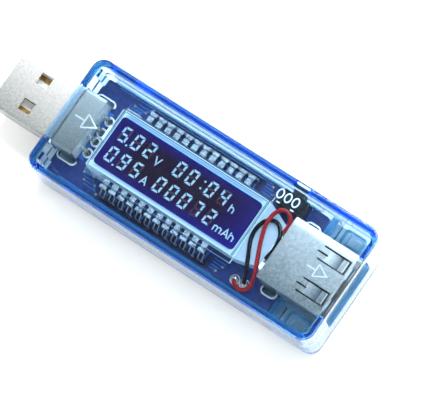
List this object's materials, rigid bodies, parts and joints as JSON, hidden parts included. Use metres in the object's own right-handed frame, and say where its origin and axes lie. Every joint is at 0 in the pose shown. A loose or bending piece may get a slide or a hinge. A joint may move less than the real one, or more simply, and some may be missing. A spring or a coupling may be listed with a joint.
{
  "type": "usb power meter",
  "caption": "Inline USB power meter: clear blue case, USB-A plug and socket, backlit seven-segment display, blue circuit board and a side reset button.",
  "frame": {"origin": "middle of the underside of the whole object, plug included", "axes": "+X from the plug to the socket, +Y towards the reset button's side, +Z out of the display"},
  "size_m": [0.076, 0.0242, 0.012],
  "materials": {
    "case_plastic": "clear, blue tinted",
    "board": "blue solder mask over glass fibre",
    "tin": "bright tin",
    "steel": "nickel plated steel sheet",
    "gold": "gold plated contacts",
    "insulator": "white moulded plastic",
    "lcd_glass": "clear glass",
    "lcd_film": "dark blue polarizing film",
    "seal": "translucent resin",
    "guide": "milky acrylic light guide",
    "reflector": "white film",
    "foam": "black foam tape",
    "red_insulation": "red wire insulation",
    "black_insulation": "black wire insulation",
    "black_plastic": "black moulded plastic",
    "button_plastic": "grey moulded plastic",
    "solder": "solder, satin",
    "ceramic": "ceramic chip body"
  },
  "bodies": {
    "meter": {"top_cover": "case_plastic", "bottom_cover": "case_plastic", "circuit_board": "board", "board_pads": "tin", "usb_plug_shell": "steel", "usb_plug_insulator": "insulator", "usb_plug_contacts": "gold", "usb_socket_shell": "steel", "usb_socket_insulator": "insulator", "usb_socket_contacts": "gold", "lcd_lower_glass": "lcd_glass", "lcd_upper_glass": "lcd_glass", "lcd_rear_film": "lcd_film", "lcd_front_film": "lcd_film", "lcd_cell_seal": "seal", "lcd_end_seal": "seal", "backlight_guide": "guide", "backlight_reflector": "reflector", "backlight_foam_pad": "foam", "backlight_led": "insulator", "backlight_led_leads": "tin", "lcd_pins_button_side": "tin", "lcd_pins_far_side": "tin", "red_wire": "red_insulation", "black_wire": "black_insulation", "switch_housing": "black_plastic", "switch_frame": "steel", "switch_dome": "steel", "switch_legs": "tin", "controller_chip": "black_plastic", "controller_leads": "tin", "memory_chip": "black_plastic", "memory_leads": "tin", "voltage_regulator": "black_plastic", "shunt_resistor": "black_plastic", "small_resistors": "black_plastic", "small_capacitors": "ceramic", "lcd_solder_joints": "solder", "usb_solder_joints": "solder", "switch_solder_joints": "solder", "wire_solder_joints": "solder"},
    "button": {"reset_button": "button_plastic"}
  },
  "joints": [
    {"name": "reset_press", "type": "slide", "parent": "meter", "child": "button", "axis": [0, -1, 0], "range_m": [0, 0.00025], "stiffness_N_per_m": 4000}
  ]
}
